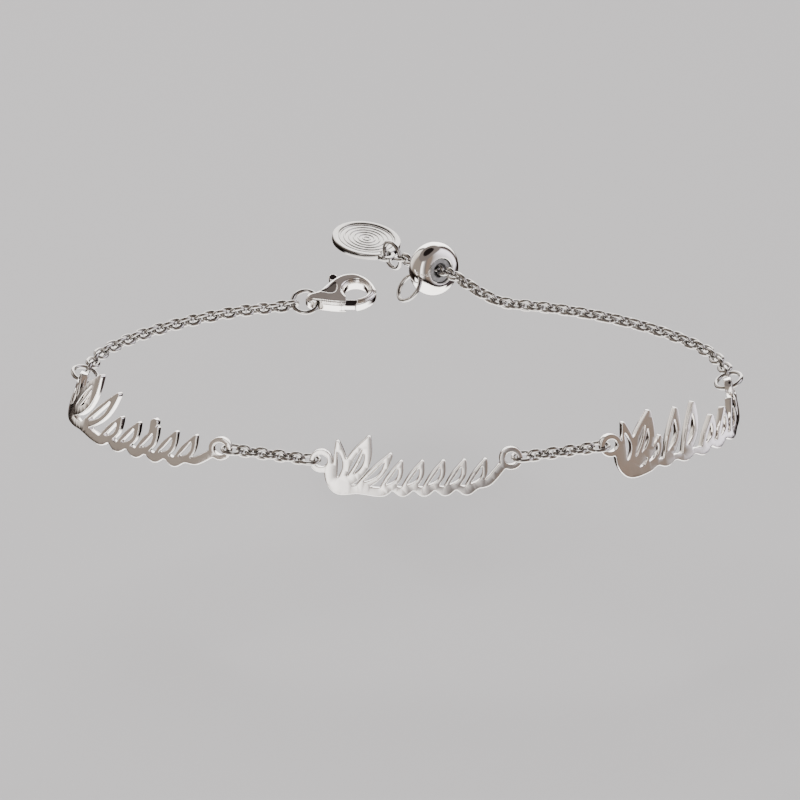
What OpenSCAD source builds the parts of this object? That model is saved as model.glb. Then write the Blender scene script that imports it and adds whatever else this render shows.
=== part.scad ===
// Bracelet of three pierced leaf plates on a cable chain. A lobster clasp closes it into the
// ring of a bead that slides on the chain. The chain's mean line lies at z = 0, the wrist passes
// along Z through the origin, and the plates are at the front, on the -Y side.

/* [Loop] */
// Half of the loop's width, from the origin to the chain
loop_half_w = 42.1; // [38:0.1:50]
// Depth of the loop behind its widest line
loop_back = 22.8; // [20:0.1:30]
// Depth of the loop before its widest line
loop_front = 17.1; // [15:0.1:22]

/* [Chain] */
// Diameter of the wire of a link
link_wire = 0.42; // [0.34:0.01:0.46]
// Clear width inside a link
link_in_w = 0.74; // [0.72:0.01:0.9]
// Clear length inside a link
link_in_l = 1.36; // [1.2:0.01:1.8]
// Smallest gap between two links
link_gap = 0.11; // [0.1:0.01:0.15]
// Length outside of the long link in a plate's eyelet
joiner_l = 2.9; // [2.8:0.05:3.6]

/* [Plates] */
// Thickness of a plate
plate_t = 0.95; // [0.7:0.05:1.1]
// Lean of the plates' tops towards the wrist, in degrees
plate_lean = 18; // [5:1:25]
// Outside diameter of an eyelet
eyelet_d = 2.9; // [2.7:0.05:3.6]
// Diameter of the hole in an eyelet
eyelet_hole = 1.6; // [1.55:0.05:1.8]
// Length of the left plate between its eyelets
left_l = 26.3; // [24:0.1:29]
// Length of the centre plate between its eyelets
center_l = 23.5; // [21:0.1:26]
// Length of the right plate between its eyelets
right_l = 21.9; // [19:0.1:24]
// Radius that fills the inner corners of the pierced work
corner_r = 0.1; // [0.05:0.01:0.15]

/* [Rings] */
// Diameter of the wire of a jump ring
ring_wire = 0.48; // [0.4:0.01:0.5]
// Outside diameter of the rings on the outer eyelets
plate_ring_d = 3.76; // [3.4:0.02:4.2]
// Outside diameter of the ring in the clasp's tail
clasp_ring_d = 3.76; // [3.6:0.02:4.2]
// Outside diameter of the ring that holds the tag
tag_ring_d = 4; // [3.8:0.02:4.6]
// Outside diameter of the ring that the clasp closes into
closing_ring_d = 4.2; // [4:0.05:5]

/* [Clasp] */
// Length of the clasp from its tail to its hook
clasp_l = 9.05; // [8.4:0.05:10.5]
// Thickness of the clasp
clasp_t = 1.9; // [1.7:0.05:2.4]
// Thickness of the lever and gate
lever_t = 1.05; // [0.8:0.05:1.2]
// Diameter of the rivet that the lever turns on
rivet_d = 0.6; // [0.5:0.05:0.8]
// How far the lever opens, in degrees
lever_open = 32; // [20:1:34]

/* [Bead] */
// Diameter of the sliding bead
bead_d = 6.9; // [6.4:0.1:8]
// Length of the sliding bead along the chain
bead_l = 3.55; // [3.2:0.05:4.5]
// Diameter of the soft stopper in the bead
insert_d = 3.3; // [2.8:0.05:3.4]
// Clearance round the chain in the stopper's hole
insert_clear = 0.14; // [0.1:0.01:0.3]

/* [Tag] */
// Diameter of the end tag
tag_d = 8.9; // [7:0.1:10]
// Thickness of the end tag
tag_t = 0.8; // [0.7:0.05:1.2]
// Width of the tag's plain rim
tag_rim = 0.7; // [0.4:0.05:1]
// Depth of the tag's field below its rim
tag_sink = 0.14; // [0.1:0.01:0.2]

/* [Hidden] */
$fn = 48;
eps = 0.01;
silver = [0.78, 0.76, 0.74];
bright = [0.86, 0.85, 0.84];
rubber_grey = [0.45, 0.46, 0.47];

// Where the oval chain line has the given x, on its back or its front half
function oval_y(x, depth) = depth * sqrt(max(0, 1 - pow(x / loop_half_w, 2)));
function unit(v) = v / norm(v);
function aim(yaw, pitch = 0) = [cos(pitch) * cos(yaw), cos(pitch) * sin(yaw), sin(pitch)];

// Smooth curve through a list of points of any dimension
function spline(a, b, c, d, t) =
    0.5 * (2 * b + (c - a) * t + (2 * a - 5 * b + 4 * c - d) * t * t
           + (3 * b - a - 3 * c + d) * t * t * t);
function smooth(pts, steps) = let(last = len(pts) - 1)
    [for (i = [0:last - 1], k = [0:steps - 1])
        spline(pts[max(i - 1, 0)], pts[i], pts[i + 1], pts[min(i + 2, last)], k / steps), pts[last]];

// Distance along a list of points, and the point at a distance
function lengths(pts) = [for (i = 0, sum = 0; i < len(pts);
    sum = sum + (i < len(pts) - 1 ? norm(pts[i + 1] - pts[i]) : 0), i = i + 1) sum];
function along(pts, sums, s) = let(
    i = max([for (j = [0:len(sums) - 2]) if (j == 0 || sums[j] <= s) j]),
    share = (s - sums[i]) / (sums[i + 1] - sums[i])) pts[i] + (pts[i + 1] - pts[i]) * share;

// Plan line of a plate: rows of [radius, length] of arcs that bend to the left, from a heading
function turned(arcs, s) = len(arcs) == 0 ? 0 : let(r = arcs[0][0], l = arcs[0][1])
    (s <= l || len(arcs) == 1) ? s / r * 180 / PI : l / r * 180 / PI + turned(rest(arcs), s - l);
function rest(rows) = [for (i = [1:1:len(rows) - 1]) rows[i]];
function walked(arcs, heading, s) = let(r = arcs[0][0], l = arcs[0][1],
    here = (s <= l || len(arcs) == 1) ? s : l, turn = here / r * 180 / PI,
    step = r * [sin(heading + turn) - sin(heading), cos(heading) - cos(heading + turn)])
    here == s ? step : step + walked(rest(arcs), heading + turn, s - l);
function total(rows, column) = len(rows) == 0 ? 0 : rows[0][column] + total(rest(rows), column);

// Share of each arc in its plate's length, as [radius by half width, share of length]
OUTER_ARCS = [[0.2, 0.33], [0.52, 0.26], [1.2, 0.41]];
function scaled_arcs(rows, length) = [for (row = rows) [row[0] * loop_half_w, row[1] * length]];
function backwards(rows) = [for (i = [len(rows) - 1:-1:0]) rows[i]];
left_arcs = scaled_arcs(OUTER_ARCS, left_l);
right_arcs = scaled_arcs(backwards(OUTER_ARCS), right_l);
center_arcs = [[2.4 * loop_half_w, center_l]];
// Where the outer eyelets sit: inside the loop's half width, and behind its widest line
left_inside = 1.35;
left_behind = 2.1;
right_inside = 1.5;
right_behind = 0.6;
// Each plate is [arcs, start point, heading at its start, height of its last eyelet]
left_heading = -104;
LEFT = [left_arcs, [left_inside - loop_half_w, left_behind], left_heading, 0];
right_out_heading = 93.3;
right_end = [loop_half_w - right_inside, right_behind];
right_heading = right_out_heading - turned(right_arcs, right_l);
RIGHT = [right_arcs, right_end - walked(right_arcs, right_heading, right_l), right_heading, 0];
center_turn = 1;
center_heading = center_turn - turned(center_arcs, center_l) / 2;
center_x = 1.25;
center_rise = 0.1;
CENTER = [center_arcs, [center_x, -loop_front] - walked(center_arcs, center_heading, center_l / 2),
          center_heading, center_rise];
function plate_point(plate, s) = plate[1] + walked(plate[0], plate[2], s);
function plate_heading(plate, s) = plate[2] + turned(plate[0], s);
function plate_l(plate) = total(plate[0], 1);
// A point on a plate's middle surface, s along it and h up its face
function on_plate(plate, s, h) = let(p = plate_point(plate, s), a = plate_heading(plate, s),
    q = p + h * sin(plate_lean) * [-sin(a), cos(a)]) [q[0], q[1], h * cos(plate_lean)];

// Flat outline to the cone that a plate follows, seen along the middle of one stretch of it
reach = 70;
function rolled(p, r, mid) = let(u = (p[0] - mid) / r * 180 / PI, c = max(-reach, min(reach, u)),
    at = r - p[1] * sin(plate_lean))
    [at * (sin(c) + cos(c) * (u - c) * PI / 180), p[1] + sin(plate_lean) * (1 - cos(c)) * at];

module rolled_polygon(pts, r, mid) {
    polygon([for (p = pts) rolled(p, r, mid)]);
}

module rolled_disc(at, radius, r, mid) {
    rolled_polygon([for (a = [0:30:330]) at + radius * [cos(a), sin(a)]], r, mid);
}

// Ribbon along rows of [along, up, half width], with round ends
module ribbon(rows, r, mid, steps = 3) {
    path = smooth(rows, steps);
    last = len(path) - 1;
    sides = [for (i = [0:last]) let(p = path[i], a = path[max(i - 1, 0)], b = path[min(i + 1, last)],
        d = unit([b[0] - a[0], b[1] - a[1]]), n = [-d[1], d[0]] * p[2])
        [[p[0], p[1]] + n, [p[0], p[1]] - n]];
    for (i = [0:last - 1])
        rolled_polygon([sides[i][0], sides[i + 1][0], sides[i + 1][1], sides[i][1]], r, mid);
    for (i = [0, last])
        rolled_disc([path[i][0], path[i][1]], path[i][2], r, mid);
}

// Leaf from its root to its tip, swollen by the belly in the middle and slightly bowed
leaf_root = 0.45;
leaf_tip = 0.28;
leaf_bow = 0.3;
leaf_steps = 7;
leaf_open = 0.5;
slit_root = 0.07;
slit_tip = 0.05;
function leaf_rows(root, tip, belly, root_w, tip_w, aside = 0) =
    let(d = tip - root, n = [-d[1], d[0]] / norm(d))
    [for (i = [0:leaf_steps])
        let(t = i / leaf_steps, p = root + d * t + n * (aside - leaf_bow) * sin(180 * t))
        [p[0], p[1], root_w + (tip_w - root_w) * t + belly * sin(180 * t)]];

module leaf(root, tip, belly, r, mid) {
    ribbon(leaf_rows(root, tip, belly, leaf_root, leaf_tip), r, mid, 1);
}

module leaf_slit(root, tip, belly, r, mid) {
    inset = 0.2 * (tip - root);
    ribbon(leaf_rows(root + inset, tip - inset, leaf_open * belly, slit_root, slit_tip), r, mid, 1);
}

// A broad leaf has a rib along its slit
broad = 1;
module leaf_rib(root, tip, belly, r, mid) {
    if (belly > broad)
        ribbon(leaf_rows(root, tip - 0.1 * (tip - root), 0, 0.3, 0.18), r, mid, 1);
}

// Leaves are [root, tip, belly] and stems are rows of [along, up, half width]
function leaf_run(from_s, step, count, low, high) = [for (i = [0:count - 1])
    let(s = from_s + i * step) [[s, low], [s + 0.9 * step, high], 0.5]];
function stem_run(from_s, step, count, low, high) = [for (i = [0:2 * count - 1])
    let(s = from_s + i * step / 2) i % 2 == 0 ? [s, low, 0.55] : [s, high, 0.34]];
LEFT_LEAVES = concat(leaf_run(10.3, 2.6, 5, -2.5, 1), [
    [[3.3, -2.2], [2.6, 2.6], 0.5], [[3.7, -2.2], [8, 5], 1.1], [[7, -2.1], [11.6, 3.8], 0.55]]);
LEFT_STEMS = [
    concat([[0.8, -0.8, 0.5], [1.8, -2, 0.55], [3.4, -2.6, 0.65], [5.2, -2.6, 0.5],
            [7.2, -2.3, 0.5]], stem_run(10.2, 2.6, 5, -2.75, -2.2),
           [[23.4, -2, 0.5], [25.2, -0.8, 0.5]]),
    [[1, 0.6, 0.4], [2, 0.8, 0.4], [2.8, 0.6, 0.4]],
    [[17, -0.2, 0.25], [17.1, 0.8, 0.25], [17.4, 1.7, 0.55]]];
CENTER_LEAVES = concat(leaf_run(7.6, 2.6, 5, -3.5, 0), [
    [[2.1, -3.1], [2, 2.4], 0.5], [[2.6, -3.2], [5.9, 3.1], 1.1], [[4.6, -3.3], [8.6, 0.9], 0.5]]);
CENTER_STEMS = [
    concat([[1, -0.7, 0.6], [1.2, -2.3, 0.6], [2.3, -3.5, 0.65], [4.6, -3.5, 0.5]],
           stem_run(7.5, 2.6, 5, -3.75, -3.2), [[20.6, -2.7, 0.5], [22.3, -0.9, 0.5]])];
RIGHT_LEAVES = concat(leaf_run(12.3, 2.4, 3, -3.5, 0), [
    [[2, -3.4], [1.9, 2.4], 0.5], [[2.5, -3.5], [5.5, 3.2], 1.1], [[4.3, -3.6], [6.6, -0.3], 0.4],
    [[7, -3.4], [9.3, 2.6], 0.55], [[9.6, -3.4], [12, 2.6], 0.55]]);
RIGHT_STEMS = [
    concat([[1, -0.7, 0.6], [1.1, -2.5, 0.6], [2.2, -3.9, 0.7], [4.4, -3.9, 0.5], [5.8, -3.4, 0.4],
            [7, -3.7, 0.5], [8.3, -3.3, 0.36], [9.6, -3.7, 0.5], [10.9, -3.3, 0.36]],
           stem_run(12.2, 2.4, 3, -3.7, -3.2), [[19.6, -2.6, 0.45], [21, -1, 0.5]])];

// The ornament grows with its plate's length, as [leaves, stems, length it is drawn for]
LEFT_WORK = [LEFT_LEAVES, LEFT_STEMS, 26.3];
CENTER_WORK = [CENTER_LEAVES, CENTER_STEMS, 23.5];
RIGHT_WORK = [RIGHT_LEAVES, RIGHT_STEMS, 21.9];
function stretched(rows, k) = [for (row = rows) [row[0] * k, row[1], row[2]]];

module flat_work(plate, work, r, mid) {
    k = plate_l(plate) / work[2];
    offset(r = -corner_r, $fn = 8) offset(r = corner_r, $fn = 8) {
        difference() {
            union() {
                for (rows = work[1])
                    ribbon(stretched(rows, k), r, mid);
                for (row = work[0])
                    leaf([row[0][0] * k, row[0][1]], [row[1][0] * k, row[1][1]], row[2], r, mid);
            }
            for (row = work[0])
                leaf_slit([row[0][0] * k, row[0][1]], [row[1][0] * k, row[1][1]], row[2], r, mid);
        }
        for (row = work[0])
            leaf_rib([row[0][0] * k, row[0][1]], [row[1][0] * k, row[1][1]], row[2], r, mid);
        rolled_disc([0, 0], eyelet_d / 2, r, mid);
        rolled_disc([plate_l(plate), plate[3]], eyelet_d / 2, r, mid);
    }
}

// A plate is built from short stretches: [arc radius, where its arc starts, from, to]
plate_low = -6;
plate_high = 6.5;
stretch_turn = 12;
stretch_l = 3.2;
overlap = 0.02;
function stretches(plate) = let(arcs = plate[0], last = len(arcs) - 1)
    [for (i = [0:last]) let(r = arcs[i][0], before = i == 0 ? 0 : total([for (j = [0:i - 1]) arcs[j]], 1),
        from_s = before - (i == 0 ? eyelet_d : 0),
        to_s = before + arcs[i][1] + (i == last ? eyelet_d : 0),
        count = ceil(max((to_s - from_s) / stretch_l, (to_s - from_s) / r * 180 / PI / stretch_turn)),
        step = (to_s - from_s) / count)
        for (k = [0:count - 1]) [r, before, from_s + k * step - overlap, from_s + (k + 1) * step + overlap]];

// Slice of the leaning wall at an angle round its arc's centre
module wall_slice(r, angle) {
    thick = plate_t / cos(plate_lean) / 2;
    low_r = r - plate_low * tan(plate_lean);
    high_r = r - plate_high * tan(plate_lean);
    rotate([90, 0, angle - 90]) linear_extrude(eps, center = true)
        polygon([[low_r - thick, plate_low], [low_r + thick, plate_low],
                 [high_r + thick, plate_high], [high_r - thick, plate_high]]);
}

// The flat work of one stretch, and the same without what only grazes it
stretch_margin = 0.1;
grazing = 0.075;
module near_work(plate, work, r, mid, half_turn) {
    intersection() {
        flat_work(plate, work, r, mid);
        polygon([for (corner = [[-1, plate_low], [1, plate_low], [1, plate_high], [-1, plate_high]])
            [corner[0] * (tan(half_turn) * (r - corner[1] * sin(plate_lean)) + stretch_margin),
             corner[1]]]);
    }
}

module stretch_work(plate, work, r, mid, half_turn) {
    intersection() {
        near_work(plate, work, r, mid, half_turn);
        offset(delta = 2 * grazing) offset(delta = -grazing) near_work(plate, work, r, mid, half_turn);
    }
}

// One stretch: the wall between two slices, cut to the flat work
module plate_stretch(plate, work, r, arc_s, from_s, to_s) {
    mid = (from_s + to_s) / 2;
    arc_angle = plate_heading(plate, arc_s);
    center = plate_point(plate, arc_s) + r * [-sin(arc_angle), cos(arc_angle)];
    half_turn = (to_s - from_s) / 2 / r * 180 / PI;
    translate([center[0], center[1], 0]) rotate(arc_angle + (mid - arc_s) / r * 180 / PI) intersection() {
        hull() {
            wall_slice(r, -half_turn);
            wall_slice(r, half_turn);
        }
        translate([0, -r, 0]) rotate([90 - plate_lean, 0, 0])
            linear_extrude(6 * plate_t, center = true) stretch_work(plate, work, r, mid, half_turn);
    }
}

module eyelet_bore(plate, s, h) {
    translate(on_plate(plate, s, h)) rotate([90 - plate_lean, 0, 0] + [0, 0, plate_heading(plate, s)])
        cylinder(d = eyelet_hole, h = 4 * plate_t, center = true);
}

module plate(plate, work) {
    color(bright) difference() {
        union() {
            for (row = stretches(plate))
                plate_stretch(plate, work, row[0], row[1], row[2], row[3]);
        }
        eyelet_bore(plate, 0, 0);
        eyelet_bore(plate, plate_l(plate), plate[3]);
    }
}

// How far inside a hole's edge a ring of the given inner radius sits, so that it clears the plate
plate_half = plate_t / cos(plate_lean) / 2;
function hook_in(inner_r) = inner_r - sqrt(pow(inner_r - link_gap, 2) - pow(plate_half, 2));
function hook_at(inner_r, wire) = eyelet_hole / 2 - hook_in(inner_r) - wire / 2;

// Stadium link in the XY plane, its length along X, in whole microns so that its parts meet
function microns(x) = round(x * 1000) / 1000;
module link(in_l, in_w, wire) {
    half_bar = microns((in_l - in_w) / 2);
    mean_r = microns((in_w + wire) / 2);
    for (turn = [0, 180])
        rotate(turn) translate([half_bar, 0, 0]) rotate(-90)
            rotate_extrude(angle = 180) translate([mean_r, 0]) circle(d = wire);
    for (side = [-1, 1])
        translate([-half_bar, side * mean_r, 0]) rotate([0, 90, 0])
            cylinder(d = wire, h = 2 * half_bar);
}

module ring(ring_d, wire = ring_wire) {
    rotate_extrude() translate([(ring_d - wire) / 2, 0]) circle(d = wire);
}

// Links along a route from the first bow's wire to the last, turned a quarter from one to the
// next. The count is odd or even as asked, and the links' length then fits the route.
slack = link_gap + 0.03;
link_pitch = link_in_l - slack;
module chain(route, odd, first_roll, twist = 0) {
    pts = smooth(route, 8);
    sums = lengths(pts);
    run = sums[len(sums) - 1] - link_wire - slack;
    count = 2 * max(odd, round((run / link_pitch - odd) / 2)) + odd;
    pitch = run / count;
    in_l = pitch + slack;
    for (i = [0:count - 1]) {
        from_p = along(pts, sums, i * pitch);
        to_p = along(pts, sums, i * pitch + in_l + link_wire);
        d = unit(to_p - from_p);
        roll = first_roll + 90 * (i % 2) + twist * i / max(1, count - 1);
        translate((from_p + to_p) / 2) rotate([roll, -asin(d[2]), atan2(d[1], d[0])])
            link(in_l, link_in_w, link_wire);
    }
}

// Long flat link from an eyelet towards the chain, and where the chain starts in it
joiner_play = 0.15;
// How much more a long link follows its plate's heading than the straight way to the next plate
joiner_along = 3;
joiner_in_w = 2 * (plate_half + link_gap + joiner_play);
joiner_at = hook_at(joiner_in_w / 2, link_wire);
joiner_end = joiner_at + joiner_l - 2 * link_wire - link_gap;
module joiner(hole, d) {
    translate(hole + d * (joiner_at + (joiner_l - link_wire) / 2))
        rotate([0, -asin(d[2]), atan2(d[1], d[0])])
            link(joiner_l - 2 * link_wire, joiner_in_w, link_wire);
}

module front_chain(from_hole, from_heading, to_hole, to_heading) {
    d = unit(to_hole - from_hole);
    from_d = unit(d + joiner_along * aim(from_heading));
    to_d = unit(d + joiner_along * aim(to_heading));
    color(silver) {
        joiner(from_hole, from_d);
        chain([from_hole + from_d * joiner_end, to_hole - to_d * joiner_end], 1, 90);
        joiner(to_hole, -to_d);
    }
}

left_outer = on_plate(LEFT, 0, 0);
left_inner = on_plate(LEFT, left_l, LEFT[3]);
center_from = on_plate(CENTER, 0, 0);
center_to = on_plate(CENTER, center_l, CENTER[3]);
right_inner = on_plate(RIGHT, 0, 0);
right_outer = on_plate(RIGHT, right_l, RIGHT[3]);

// Rings on the outer eyelets lead on along the plates' lines to the back chains
left_d = -aim(left_heading);
right_d = aim(plate_heading(RIGHT, right_l));
plate_ring_r = (plate_ring_d - ring_wire) / 2;
plate_ring_at = hook_at(plate_ring_r - ring_wire / 2, ring_wire) + plate_ring_r;
left_ring = left_outer + left_d * plate_ring_at;
right_ring = right_outer + right_d * plate_ring_at;
// The ring leans with its plate, up on the bracelet's outer side
module plate_ring(at, d, side) {
    color(silver) translate(at) rotate([0, 0, atan2(d[1], d[0])]) rotate([-side * plate_lean, 0, 0])
        ring(plate_ring_d);
}

// How far from a ring's centre the first bow of a chain passes through it
bow_play = 0.035;
function bow_at(ring_d) = ring_d / 2 - ring_wire - link_wire / 2 - link_gap - bow_play;

// Clasp: local X along it from the tail's tip, its face tipped towards the front
clasp_before = 0.7;
clasp_at = [-0.304 * loop_half_w, loop_back - clasp_before, 0];
clasp_tip = 13;
clasp_ring_tip = 15;
// Chosen points of the back chains' routes: shares of the half width where they follow the oval,
// offsets of the bend from the bead to it, and distances along the bead's axis before that
LEFT_ROUTE = [-0.909, -0.8, -0.66, -0.5];
RIGHT_ROUTE = [0.3, 0.42, 0.55, 0.68, 0.8, 0.905];
BEND_ROUTE = [[0.35, [-0.4, -0.6, 0.3]], [0.7, [-0.45, -0.42, 0.1]]];
STRAIGHT_ROUTE = [-4, 0, 3, 4.6];
function oval_back(share) = [share * loop_half_w, oval_y(share * loop_half_w, loop_back), 0];

// The last links lie in the plane of the clasp's ring
clasp_in = 13;
ring_tip = clasp_tip + clasp_ring_tip;
clasp_d = -[cos(clasp_in), sin(clasp_in) * cos(ring_tip), sin(clasp_in) * sin(ring_tip)];
module chain_back_left() {
    color(silver) chain(concat([left_ring + left_d * bow_at(plate_ring_d)],
                               [for (x = LEFT_ROUTE) oval_back(x)],
                               [clasp_at + clasp_d * (bow_at(clasp_ring_d) + 2 * link_in_l),
                                clasp_at + clasp_d * bow_at(clasp_ring_d)]), 1,
                        90 + plate_lean, ring_tip - plate_lean);
}

// The chain's free end runs straight along the bead's axis
bead_behind = 7.75;
bead_at = [0.085 * loop_half_w, loop_back + bead_behind, 0];
bead_yaw = -54.4;
bead_pitch = 14.2;
bead_d3 = aim(bead_yaw, bead_pitch);
tag_ring_back = 9.4;
tag_ring_at = bead_at - bead_d3 * tag_ring_back;

module chain_back_right() {
    turn = bead_at + bead_d3 * STRAIGHT_ROUTE[3];
    join = oval_back(RIGHT_ROUTE[0]);
    color(silver) chain(concat([tag_ring_at + bead_d3 * bow_at(tag_ring_d)],
                               [for (x = STRAIGHT_ROUTE) bead_at + bead_d3 * x],
                               [for (row = BEND_ROUTE) turn + (join - turn) * row[0] + row[1]],
                               [for (x = RIGHT_ROUTE) oval_back(x)],
                               [right_ring + right_d * (bow_at(plate_ring_d) + link_in_l),
                                right_ring + right_d * bow_at(plate_ring_d)]), 0, 0, plate_lean);
}

module clasp_frame() {
    translate(clasp_at) rotate([clasp_tip, 0, 0]) children();
}

module clasp_ring() {
    color(silver) clasp_frame() rotate([clasp_ring_tip, 0, 0]) ring(clasp_ring_d);
}

cs = clasp_l / 9.05;
// Outline of the clasp from the tail over the hook and back, and its eye
CLASP_EDGE = [[0.03, 0.1], [0.33, 0.72], [0.85, 0.98], [1.4, 1.16], [1.9, 1.5], [2.45, 2.2],
              [3.02, 2.92], [3.6, 3.55], [4.14, 4], [4.6, 4.28], [5.1, 4.46], [5.9, 4.54],
              [6.6, 4.44], [7.3, 4.07], [7.9, 3.58], [8.43, 2.92], [8.85, 2.12], [9.05, 1.36],
              [8.93, 0.7], [8.6, 0.15], [8.1, -0.32], [7.4, -0.78], [6.5, -1.1], [5.5, -1.18],
              [4.4, -1.2], [3.3, -1.1], [2, -0.86], [0.9, -0.72], [0.3, -0.45]];
tail_r = 0.86 * cs;
hook_top = 4.54 * cs;
clasp_hole_r = 1.55 * cs;
clasp_hole_c = [6.43, 1.47] * cs;
pivot = [3.9, 0.25] * cs;
gate_r = 2.8 * cs;
gate_clear = 0.08;
boss_r = 0.78 * cs;
arm_w = 0.84 * cs;
knob_at = [3.5, 4.12] * cs;
knob_d = 1.06;
rivet_clear = 0.06;
lever_clear = 0.075;
tail_hole_x = 1.47 * cs;
tail_hole_d = 1.6;
mouth_x = 5.15 * cs;

function closed(pts, steps) = let(n = len(pts))
    [for (i = [0:n - 1], k = [0:steps - 1])
        spline(pts[(i + n - 1) % n], pts[i], pts[(i + 1) % n], pts[(i + 2) % n], k / steps)];
module clasp_outline() {
    difference() {
        polygon(closed(CLASP_EDGE * cs, 3));
        translate(clasp_hole_c) circle(clasp_hole_r);
    }
}

module lever_outline() {
    translate(pivot) circle(boss_r);
    hull() {
        translate(pivot) circle(d = arm_w);
        translate(knob_at) circle(d = arm_w);
    }
    translate(knob_at) circle(d = knob_d);
    intersection() {
        translate(pivot) circle(gate_r);
        polygon([[3.35, -0.3], [4.4, -1.05], [5.2, -1.14], [7, -1.14], [7, -0.12], [5.2, -0.12],
                 [4.5, 0.7]] * cs);
    }
}

module opened(angle) {
    translate(pivot) rotate(angle) translate(-pivot) children();
}

// The edges are rounded in steps: [inset of the outline, share of the thickness]
CLASP_STEPS = [[0, 0.44], [0.06, 0.68], [0.18, 0.86], [0.38, 1]];
module clasp_body() {
    color(bright) clasp_frame() {
        difference() {
            for (step = CLASP_STEPS)
                linear_extrude(clasp_t * step[1], center = true) offset(delta = -step[0]) clasp_outline();
            translate([tail_hole_x, 0, 0]) rotate([90, 0, 0])
                cylinder(d = tail_hole_d, h = 6 * tail_r, center = true);
            linear_extrude(lever_t + 2 * lever_clear, center = true) offset(r = lever_clear)
                for (i = [0:4]) opened(lever_open * i / 4) lever_outline();
            linear_extrude(2 * clasp_t, center = true) intersection() {
                translate(pivot) circle(gate_r + gate_clear);
                translate([mouth_x, -hook_top])
                    square([gate_r, hook_top + clasp_hole_c[1] - clasp_hole_r / 2]);
            }
        }
        translate(pivot) cylinder(d = rivet_d, h = clasp_t, center = true);
    }
}

module clasp_lever() {
    color(silver) clasp_frame() difference() {
        linear_extrude(lever_t, center = true) lever_outline();
        translate(pivot) cylinder(d = rivet_d + 2 * rivet_clear, h = 2 * lever_t, center = true);
    }
}

// Bead: local Z along the chain
bead_round = 1.7;
round_at = bead_d / 2 - bead_round;
insert_recess = 0.3;
bore_d = link_in_w + 2 * link_wire + 2 * insert_clear;
channel_at = 0.806 * bead_d / 2;
channel_clear = 0.12;
closing_r = (closing_ring_d - ring_wire) / 2;
closing_yaw = -45;
module bead_frame() {
    translate(bead_at) rotate([0, 90 - bead_pitch, bead_yaw]) children();
}

// Ring through the bead's channel, its plane along the bead's axis
module closing_place() {
    translate([0, -channel_at, 0] + closing_r * aim(closing_yaw)) rotate([90, 0, closing_yaw]) children();
}

module slider_bead() {
    color(bright) bead_frame() difference() {
        rotate_extrude() difference() {
            union() {
                for (side = [-1, 1])
                    translate([round_at, side * (bead_l / 2 - bead_round)]) circle(bead_round);
                translate([0, bead_round - bead_l / 2])
                    square([bead_d / 2, bead_l - 2 * bead_round]);
                translate([0, -bead_l / 2]) square([round_at, bead_l]);
            }
            translate([-bead_d, -bead_l]) square([bead_d + insert_d / 2, 2 * bead_l]);
        }
        closing_place() ring(closing_ring_d + 2 * channel_clear, ring_wire + 2 * channel_clear);
    }
}

module bead_insert() {
    color(rubber_grey) bead_frame() difference() {
        cylinder(d = insert_d, h = bead_l - 2 * insert_recess, center = true);
        cylinder(d = bore_d, h = 2 * bead_l, center = true);
    }
}

module closing_ring() {
    color(silver) bead_frame() closing_place() ring(closing_ring_d);
}

module tag_ring() {
    color(silver) translate(tag_ring_at) rotate([90, 0, bead_yaw]) ring(tag_ring_d);
}

// Tag: hangs behind its ring, local X from the lug's hole to the disc
tag_drop = 0.8;
tag_roll = 6.4;
tag_pitch = -3.4;
lug_hole = 1.5;
lug_r = 1.25;
lug_t = 0.6;
lug_inset = 0.2;
lug_reach = tag_d / 2 - lug_inset;
lug_back = sqrt(pow((tag_ring_d - ring_wire) / 2, 2) - pow(tag_drop, 2));
relief_step = 0.62;
relief_w = 0.26;
relief_h = 0.1;
module end_tag() {
    color(bright) translate(tag_ring_at - aim(bead_yaw) * lug_back - [0, 0, tag_drop])
        rotate([tag_roll, tag_pitch, bead_yaw + 180]) difference() {
            union() {
                cylinder(r = lug_r, h = lug_t, center = true);
                translate([lug_reach, 0, 0]) rotate_extrude() {
                    translate([0, -tag_t / 2]) square([tag_d / 2, tag_t - tag_sink]);
                    translate([tag_d / 2 - tag_rim, -tag_t / 2]) square([tag_rim, tag_t]);
                    for (x = [0.5 * relief_step:relief_step:tag_d / 2 - tag_rim - relief_w])
                        translate([x, 0]) square([relief_w, tag_t / 2 - tag_sink + relief_h]);
                }
            }
            cylinder(d = lug_hole, h = 2 * tag_t, center = true);
        }
}

plate(LEFT, LEFT_WORK);  // plate_left
plate(CENTER, CENTER_WORK);  // plate_center
plate(RIGHT, RIGHT_WORK);  // plate_right
chain_back_left();
front_chain(left_inner, plate_heading(LEFT, left_l), center_from, center_heading);  // chain_front_left
front_chain(center_to, plate_heading(CENTER, center_l), right_inner, right_heading);  // chain_front_right
chain_back_right();
plate_ring(left_ring, left_d, -1);  // ring_plate_left
plate_ring(right_ring, right_d, 1);  // ring_plate_right
clasp_ring();
clasp_body();
clasp_lever();
slider_bead();
bead_insert();
closing_ring();
tag_ring();
end_tag();
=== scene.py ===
"""Leaf plate bracelet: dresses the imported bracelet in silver, with a studio around it."""

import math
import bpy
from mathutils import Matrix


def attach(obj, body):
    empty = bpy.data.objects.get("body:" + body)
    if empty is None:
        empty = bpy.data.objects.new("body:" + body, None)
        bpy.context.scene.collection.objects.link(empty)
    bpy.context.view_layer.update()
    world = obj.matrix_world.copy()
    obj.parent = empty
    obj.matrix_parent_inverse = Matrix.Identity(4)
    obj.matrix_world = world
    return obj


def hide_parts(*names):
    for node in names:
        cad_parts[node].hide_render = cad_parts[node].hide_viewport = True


bl_info = {
    "name": "Leaf Plate Bracelet",
    "version": (1, 0, 0),
    "blender": (4, 5, 0),
    "location": "View3D > Sidebar > Bracelet",
    "description": "Builds the silver pieces of a bracelet with pierced leaf plates around its CAD frame",
    "category": "Add Mesh",
}

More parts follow.
